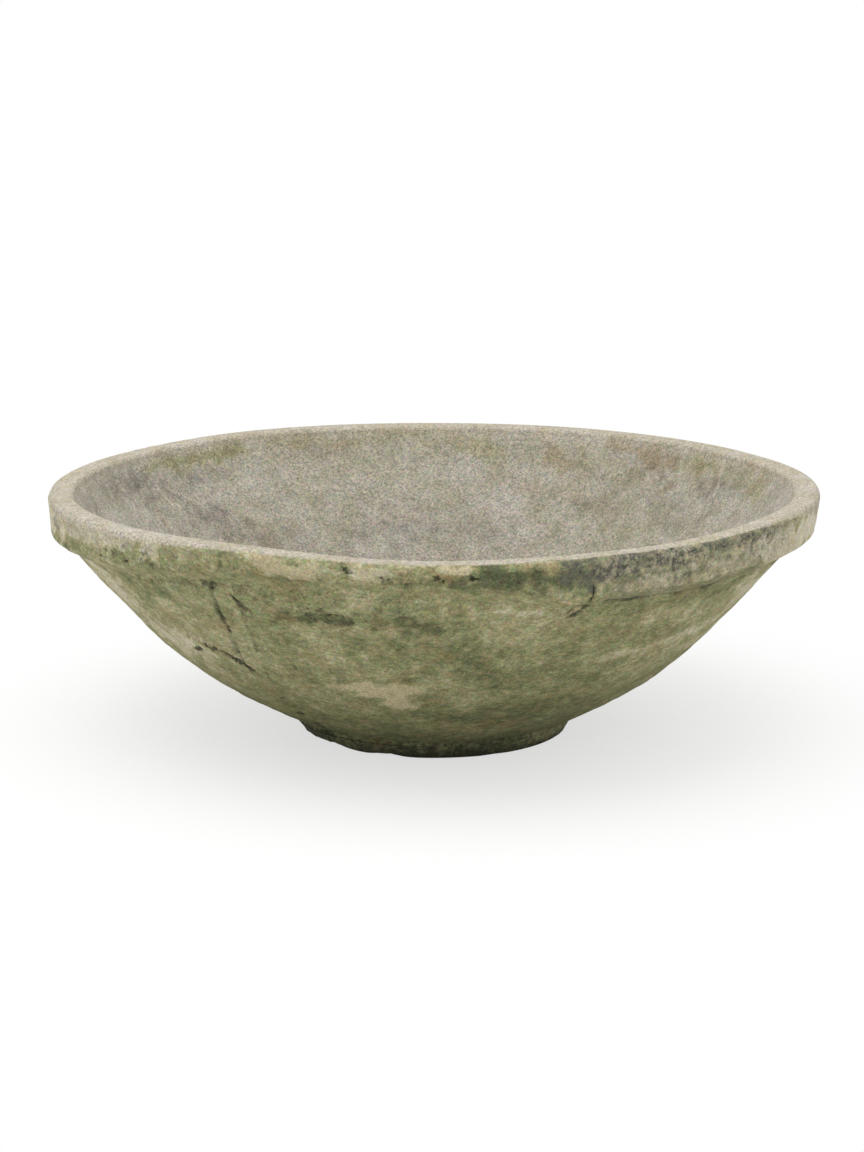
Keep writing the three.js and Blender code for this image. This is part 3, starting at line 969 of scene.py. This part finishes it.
for v in made["geom"]:
    if isinstance(v, bmesh.types.BMVert):
        azimuth, radius, height = (part[0] for part in polar(np.array([v.co]) / MM))
        deep = max(strap_thickness * float(smooth(height, strap_foot, strap_foot + 14)), strap_thin_end)
        v.co = Vector(around(azimuth, radius + deep * into_wall[0], height + deep * into_wall[1])) * MM
bmesh.ops.recalc_face_normals(bm, faces=bm.faces)
strap = as_piece(bm, "seam_strap_stone")
places = places_of(strap.data)
weather = outside_weather(places, wall_cracks)
lumps = hand_lumps(places) + ragged_depth * rough(places, *ragged_kind)
lumps -= np.minimum(cracked(places, wall_cracks), strap_thickness / 2)
set_places(strap.data, hand_formed(places))
pushed(strap.data, lumps)
note_weather(strap.data, weather)
strap.data.materials.append(mossy_stone)
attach(strap, "root")
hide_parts("seam_strap")

# Rim band. One long strip of the mix pressed round the outside of the lip, with its two ends butted at
# a joint right of the front. It is deeper on one side of the joint, its lower edge is uneven and broken
# in places, and soot and algae have darkened its face below the pale top.
band_depth = 34
band_under_drop = 6
band_face_lean = 2
band_top_rounding = 4
band_lower_rounding = 4
band_joint_azimuth = 22
band_joint_width = 1.2
band_steps = 1000
band_sectors = 20
# At equal steps round the strip from its joint: its depth as a share, how far it laps on the wall below,
# and how far its lower corner stands above its crease with the wall
band_depth_shares = [0.88, 1.0, 1.04, 1.02, 1.0, 1.02, 1.02, 0.9, 0.62, 0.58]
band_laps = [0.8, 0.8, 2.0, 4.0, 3.0, 4.0, 5.0, 3.5, 6.0, 5.0]
band_drops = [3.5, 8.0, 8.2, 6.8, 6.0, 6.0, 6.0, 6.0, 6.0, 6.0]
# Shares of the way round where the last end starts to be smeared down on the wall, and is all smeared,
# and where the fill under the first end starts to stop, and has stopped. The smear adds to the depth
smear_shares = (0.955, 0.992)
fill_shares = (0.003, 0.010)
smear_depth = 0.24
# How far its back reaches into the lip and stands off the seat's foot, and its lap sinks into the wall
band_back_reach = 1.2
band_back_gap = 0.4
band_lap_sink = 0.12
under_points = 9
face_points = 18
crumble_depth = 0.22
# The end faces lie within this many degrees of the joint. They are moved to its middle by these shares of
# half its width, below and above the heights
joint_near = 0.3
joint_closed_below = 0.76
joint_closed_above = 1.7
joint_closed_heights = (146.5, 149.5)


def eased(values, share):
    """Value at a share of a row of values, on a smooth curve through them."""
    last = len(values) - 1
    place = share * last
    i = np.minimum(np.floor(place).astype(int), last - 1)
    t = place - i
    row = np.array(values)
    a, b, c, d = row[np.maximum(i - 1, 0)], row[i], row[i + 1], row[np.minimum(i + 2, last)]
    return b + 0.5 * t * (c - a + t * (2 * a - 5 * b + 4 * c - d + t * (3 * (b - c) + d - a)))


def band_section(depth, lap, drop, fill):
    """Section of the strip at a depth: it laps on the wall, then lower corner, face, rounded top, back.
    Where it is filled, it comes down to the wall in a slope in place of an undercut."""
    crease = bowl_height - depth
    seat_height = seat_foot.y if crease < seat_foot.y else crease + band_under_drop / 2
    arris = Vector((rim_radius - band_face_lean, crease + drop))
    wall_radius = float(np.interp(crease, outer_heights, outer_radii))
    lap_radius = float(np.interp(crease - lap, outer_heights, outer_radii))
    seat_radius = float(np.interp(seat_height, outer_heights, outer_radii))
    lower_centre = arris + Vector((-band_lower_rounding, band_lower_rounding))
    top_centre = Vector((rim_radius - band_top_rounding, bowl_height - band_top_rounding))
    lower = [lower_centre + along(-60 + 10 * i, band_lower_rounding) for i in range(7)]
    top = [top_centre + along(11.25 * i, band_top_rounding) for i in range(9)]
    back_top = Vector((seat_top.x - band_back_reach, bowl_height))
    back_foot = Vector((seat_radius + band_back_gap, seat_height))
    start = Vector((lap_radius - band_lap_sink, crease - lap))
    hollow = Vector((wall_radius + 0.7, crease + 0.7)).lerp(Vector((rim_radius - 4, crease - 4)), fill)
    shares = [i / under_points for i in range(under_points)]
    under = [start.lerp(hollow, t).lerp(hollow.lerp(lower[0], t), t) for t in shares]
    section = under + lower + evenly(lower[-1], top[0], face_points)[:-1] + top
    section += evenly(top[-1], back_top, 4) + evenly(back_top, back_foot, 6)
    return np.array(section)


first = band_section(band_depth * band_depth_shares[0], band_laps[0], band_drops[0], 0)
half_joint = math.degrees(band_joint_width / rim_radius / 2)
band_turn = 360 - 2 * half_joint
bm = bmesh.new()
corner_layer = bm.verts.layers.int.new("corner")
corners = []
for i, (radius, height) in enumerate(first):
    place = around(band_joint_azimuth + half_joint, radius, height) * MM
    corners.append(bm.verts.new(place))
    corners[-1][corner_layer] = i
edges = [bm.edges.new(pair) for pair in zip(corners, corners[1:] + corners[:1])]
turned(bm, corners + edges, math.radians(band_turn), band_steps, band_sectors)
ends = [e for e in bm.edges if e.is_boundary]
bmesh.ops.holes_fill(bm, edges=ends, sides=0)
bmesh.ops.recalc_face_normals(bm, faces=bm.faces)
vertex_corner = np.array([v[corner_layer] for v in bm.verts])
band = as_piece(bm, "rim_band_stone")
places = places_of(band.data)
azimuths, radii, heights = polar(places)
shares = (azimuths - band_joint_azimuth) % 360 / 360
depths = band_depth * eased(band_depth_shares, shares)
step_of = np.round((azimuths - band_joint_azimuth - half_joint) % 360 / band_turn * band_steps).astype(int)
step_of = np.where(step_of > band_steps, 0, step_of)
for step in np.unique(step_of):
    here = step_of == step
    at_step = np.array([step / band_steps])
    share, lap, drop = (
        float(eased(values, at_step)[0]) for values in (band_depth_shares, band_laps, band_drops)
    )
    smeared = float(smooth(at_step[0], *smear_shares))
    fill = max(0.9 * smeared, 0.6 * float(1 - smooth(at_step[0], *fill_shares)))
    depth = band_depth * (share + smear_depth * smeared)
    section = band_section(depth, lap * (1 - 0.7 * smeared), drop * (1 - 0.6 * smeared), fill)
    radii[here] = section[vertex_corner[here], 0]
    heights[here] = section[vertex_corner[here], 1]
# The two ends run into each other near the top, and below that they leave a quarter of the joint open
joint_offset = (azimuths - band_joint_azimuth + 180) % 360 - 180
at_joint = np.abs(joint_offset) < joint_near
joint_rise = smooth(heights, *joint_closed_heights)
joint_closing = joint_closed_below + (joint_closed_above - joint_closed_below) * joint_rise
azimuths = azimuths - np.sign(joint_offset) * half_joint * joint_closing * at_joint
places = around(azimuths, radii, heights)
ragged = rough(places, *ragged_kind)
middling = rough(places, *middling_kind)
crumble = rough(places, *crumble_kind)
# Open cracks and pits of the strip, by depth in millimetres
band_cracks = on_band(
    (1.2, 1.3, (-13.6, 161.6), (-12.8, 160), (-12, 157.4)),
    (2.4, 2.6, (0.1, 157.2), (0.7, 155.8), (1.2, 153.4)),
    (2.5, 2.4, (4.9, 156.2), (5.7, 154.8)),
    (1.2, 0.9, (-7.4, 156.2), (-5.6, 153.7), (-4.1, 151.6)),
    (1.6, 1.2, (-1.4, 150.2), (-0.4, 149.6)),
    (1.3, 0.9, (-12.4, 160.6), (-11.1, 157.1)),
    (1.3, 1.1, (-72.6, 152.5), (-71.4, 150)),
    (1.2, 1.1, (-58, 146), (-52, 144.6), (-47, 145.4)),
    (1.3, 1.2, (-43, 142.6), (-39, 141.8)),
    (1.2, 0.5, (21.4, 155), (21.6, 152.6), (21.8, 150)),
)
lapped = np.clip(vertex_corner / under_points, 0, 1)
lumps = hand_lumps(places) + ragged_depth * ragged - 0.1 * lapped
lumps += crumble_depth * crumble * smooth(np.abs(heights - 161), 1, 4) * lapped
# Bites out of the lower corner, deeper on the right
lower_edge = np.exp(-(((heights - (bowl_height - depths + 7)) / 5) ** 2)) * (radii > 240)
bites = np.maximum(rough(places, 9, 2, 11) - 0.25, 0)
right_side = smooth(azimuths, 15, 40) * (1 - smooth(azimuths, 100, 140))
lumps -= lower_edge * (0.5 * np.maximum(middling, -0.3) + (0.8 + 1.6 * right_side) * bites)
lumps -= cracked(places, band_cracks)
# The face is only ever pushed in, and the top and the back stay where they are
lumps = np.where(lapped < 1, lumps, np.minimum(lumps, 0.0))
lumps = np.where(heights > bowl_height - 0.01, 0, lumps)
lumps = np.where(radii < seat_top.x + 0.5, 0, lumps)
set_places(band.data, hand_formed(places))
pushed(band.data, lumps)

# The rubbed lip runs over the edge by a depth in millimetres, further at the left and at the far right
lip_reach = 1.5
left_reach = 8.1
far_reach = 11.9
left_share = np.exp(-((((azimuths + 62 + 180) % 360 - 180) / 36) ** 2))
far_share = np.exp(-(((azimuths - 84) / 20) ** 2))
sooted_lip = smooth(azimuths, 18, 26) * (1 - smooth(azimuths, 50, 70))
lip_depth = lip_reach + left_reach * left_share + far_reach * far_share - 0.2 * sooted_lip
lip_depth += (1.2 * middling + 0.9 * ragged) * (0.5 + 0.4 * left_share + 0.8 * far_share)
over_edge = np.maximum(radii - rim_radius + band_top_rounding, 0) + bowl_height - heights
lip_share = 1 - smooth(over_edge, lip_depth - 1.8, lip_depth + 1.3)
weather = outside_weather(places, band_cracks)
# Dirt and painted shade lie low and deep in the joint, and none on the lip
weather["grime_and_shade"] += 0.3 * at_joint * (1 - smooth(heights, 146, 156)) * (1 - smooth(radii, 240, 247))
weather["grime_and_shade"] *= 1 - lip_share
weather["soot"] *= 1 - 0.9 * lip_share
weather["lip"] = lip_share
note_weather(band.data, weather)

# Soot has settled in the film on the right of the face, in flecks, and the top is rubbed pale
stained_stone, tree, at, outer, noted = new_stone(
    "cast stone stained by soot and rubbed pale", 0.9, 0.2, "soot", "lip"
)
flecks = add(tree, "TexNoise", {"Vector": at, "Scale": 1 / (4 * MM), "Detail": 6.0, "Roughness": 0.78})
speckle = add(tree, "MapRange", {
    "Value": flecks, "From Min": 0.36, "From Max": 0.64, "To Min": 0.25, "To Max": 1.75,
})
soot_share = add(tree, "Math", {0: noted["soot"], 1: speckle}, operation="MULTIPLY", use_clamp=True)
soot_tone = add(tree, "ValToRGB", {"Fac": flecks}, stops=[(0.36, "#7c7a6f"), (0.66, "#4e4e45")])
sooted = add(tree, "Mix", {"Factor": soot_share, "A": outer, "B": soot_tone}, data_type="RGBA")
patches = add(tree, "TexNoise", {"Vector": at, **pale_patch})
lipped = rubbed_pale(tree, patches, sooted, noted["lip"])
grained(tree, outer.outputs["Height"], 0.4, Color=lipped, Bareness=noted["lip"])
band.data.materials.append(stained_stone)
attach(band, "root")
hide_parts("rim_band")

# Foot ring. A low ring of the mix under the floor, worn round at the bottom and chipped along its front
# left edge, and darkened from below by the damp ground that the bowl stood on and by painted shade.
foot_radius = 92.3
foot_height = 9
foot_width = 30
foot_draft = 4
foot_rounding = 2.5
foot_columns = 420
foot_sectors = 12
outer_centre = Vector((foot_radius - foot_draft - foot_rounding, foot_rounding))
inner_centre = Vector((foot_radius - foot_width + foot_rounding, foot_rounding))
outer_turn = [outer_centre + along(-90 + 10 * i, foot_rounding) for i in range(9)]
inner_turn = [inner_centre + along(180 + 15 * i, foot_rounding) for i in range(7)]
top_outer = Vector((foot_face_radius, foot_height))
top_inner = Vector((foot_radius - foot_width, foot_height))
loop = outer_turn + evenly(outer_turn[-1], top_outer, 8) + evenly(top_outer, top_inner, 5)
loop += evenly(top_inner, inner_turn[0], 4)[:-1] + inner_turn + evenly(inner_turn[-1], outer_turn[0], 9)[:-1]
bm = bmesh.new()
corners = [bm.verts.new((0, -point.x * MM, point.y * MM)) for point in loop]
edges = [bm.edges.new(pair) for pair in zip(corners, corners[1:] + corners[:1])]
turned(bm, corners + edges, math.tau, foot_columns, foot_sectors)
foot = as_piece(bm, "foot_ring_stone")
places = places_of(foot.data)
azimuths, radii, heights = polar(places)
ragged = rough(places, *ragged_kind)
middling = rough(places, *middling_kind)
crumble = rough(places, *crumble_kind)
# Wear and chips of the outer bottom edge: azimuth and depth. They are deepest at the left and front left
foot_chips = [
    (-180, 1.2), (-165, 0.6), (-150, 1.4), (-132, 0.8), (-118, 2.2), (-105, 3.0), (-92, 4.2), (-80, 3.2),
    (-71, 2.0), (-62, 1.8), (-55, 2.2), (-49, 2.4), (-44, 2.2), (-39, 1.1), (-34, 0.7), (-30, 0.5),
    (-26, 0.8), (-22, 1.5), (-18, 1.7), (-14.5, 0.8), (-11, 0.3), (-7, 0.1), (10, 0.1), (20, 0.0),
    (27, 0.3), (33, 0.0), (41, 0.0), (50, 0.0), (80, 0.2), (92, 0.6), (112, 0.6), (130, 1.8), (148, 0.6),
    (165, 1.6),
]
chip_azimuths, chip_depths = zip(*foot_chips)
chipped = np.interp(azimuths, chip_azimuths, chip_depths, period=360)
chipped = chipped * smooth(radii, 66, 79) * (1 + 0.08 * middling)
# A chip lifts the bottom and draws it in a little
heights = heights + chipped * (1 - heights / foot_height)
radii = radii - 0.2 * chipped * (1 - smooth(heights, 6, 8.8))
places = around(azimuths, radii, heights)
set_places(foot.data, places)
worn = (1 - smooth(heights, 6.5, 8.6)) * smooth(heights, 0.2, 1.5)
pushed(foot.data, (0.25 * ragged + 0.12 * crumble) * worn)
places = places_of(foot.data)
places[:, 2] = np.maximum(places[:, 2], 0)
set_places(foot.data, places)
note_weather(foot.data, outside_weather(places, []))

# Damp and soil, with painted shade, darken the foot from below. It is darkest up to the first height in
# millimetres, and not darkened above the second, on a ragged line
wet_and_shade_heights = (5, 11)
wet_and_shade_raggedness = 9
damp_and_shaded_stone, tree, at, outer, _ = new_stone("cast stone darkened by damp and painted shade", 0.88, 0.22)
above_ground = add(tree, "SeparateXYZ", {"Vector": at}).outputs["Z"]
crumbs = add(tree, "TexNoise", {"Vector": at, "Scale": 1 / (6 * MM), "Detail": 5.0, "Roughness": 0.7})
wet_and_shade_level = add(tree, "Math", {0: crumbs, 1: wet_and_shade_raggedness * MM, 2: above_ground}, operation="MULTIPLY_ADD")
wet_and_shade_share = add(tree, "MapRange", {
    "Value": wet_and_shade_level, "From Min": wet_and_shade_heights[1] * MM, "From Max": wet_and_shade_heights[0] * MM, "To Max": 0.95,
})
wetted_and_shaded = add(tree, "Mix", {"Factor": wet_and_shade_share, "A": outer, "B": linear("#26251a")}, data_type="RGBA")
grained(tree, outer.outputs["Height"], 0.5, Color=wetted_and_shaded)
foot.data.materials.append(damp_and_shaded_stone)
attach(foot, "root")
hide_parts("foot_ring")

# Floor. A plain pale sheet that runs out of sight. Near the bowl it takes the bowl's shadow, and from
# 0.1 to 0.5 metres off its middle it turns plain white to the camera.
floor_reach = 30


def seen_straight(tree):
    """1 for what the camera sees, straight or in a mirror or through glass, and 0 for light on its way."""
    rays = add(tree, "LightPath")
    seen = rays.outputs["Is Camera Ray"]
    for kind in ("Is Glossy Ray", "Is Transmission Ray"):
        seen = add(tree, "Math", {0: seen, 1: rays.outputs[kind]}, operation="MAXIMUM")
    return seen


bm = bmesh.new()
bmesh.ops.create_grid(bm, x_segments=1, y_segments=1, size=floor_reach)
floor = as_piece(bm, "floor")
paper = bpy.data.materials.new("matt white paper, plain")
paper.use_nodes = True
tree = paper.node_tree
tree.nodes.remove(tree.nodes["Principled BSDF"])
seen = seen_straight(tree)
sheet_colour = add(
    tree, "Mix", {"Factor": seen, "A": linear("#e2e1dd"), "B": linear("#ffffff")}, data_type="RGBA"
)
sheet = add(tree, "BsdfDiffuse", {"Color": sheet_colour})
glow = add(tree, "Emission", {"Color": linear("#ffffff"), "Strength": 1.0})
spread = add(tree, "VectorMath", {0: add(tree, "TexCoord").outputs["Object"]}, operation="LENGTH")
far = add(
    tree, "MapRange", {"Value": spread, "From Min": 0.10, "From Max": 0.50, "To Min": 0.65},
    interpolation_type="SMOOTHSTEP",
)
far_seen = add(tree, "Math", {0: far, 1: seen}, operation="MULTIPLY")
both = add(tree, "MixShader", {0: far_seen, 1: sheet, 2: glow})
feed(tree, tree.nodes["Material Output"].inputs["Surface"], both)
floor.data.materials.append(paper)

# Light. An even pale sky with one wide soft lamp overhead, at a level at which a colour facing up
# renders about as it is written. The sky is white to the camera, and its light a little weaker.
world = bpy.data.worlds.new("soft studio")
bpy.context.scene.world = world
world.use_nodes = True
tree = world.node_tree
background = tree.nodes["Background"]
level = add(tree, "MapRange", {"Value": seen_straight(tree), "To Min": 0.72, "To Max": 1.0})
background.inputs["Color"].default_value = linear("#ffffff")
feed(tree, background.inputs["Strength"], level)
lamp = bpy.data.lights.new("overhead lamp", "AREA")
lamp.shape = "DISK"
lamp.size = 2.4
lamp.energy = 26
lamp_object = bpy.data.objects.new("overhead lamp", lamp)
lamp_object.location = (-0.3, -0.4, 2.2)
# It points at the inside of the bowl, 0.1 metres up
lamp_object.rotation_euler = Vector((-0.3, -0.4, 2.1)).to_track_quat("Z", "Y").to_euler()
bpy.context.scene.collection.objects.link(lamp_object)

# Camera. As the photograph was taken, from about two metres away and a little above the lip, with a
# long lens.
camera = bpy.data.cameras.new("camera")
camera.lens = 95.77
camera.sensor_width = 36
camera_object = bpy.data.objects.new("camera", camera)
camera_distance = 2.0
camera_elevation = math.radians(10.65)
camera_tilt = math.radians(10.65 + 1.686)
camera_turn = math.radians(0.028)
rim_centre_height = 0.160
camera_object.location = (
    0,
    -camera_distance * math.cos(camera_elevation),
    rim_centre_height + camera_distance * math.sin(camera_elevation),
)
camera_object.rotation_euler = (math.pi / 2 - camera_tilt, 0, camera_turn)
bpy.context.scene.collection.objects.link(camera_object)
bpy.context.scene.camera = camera_object
bpy.context.scene.view_settings.view_transform = "Standard"
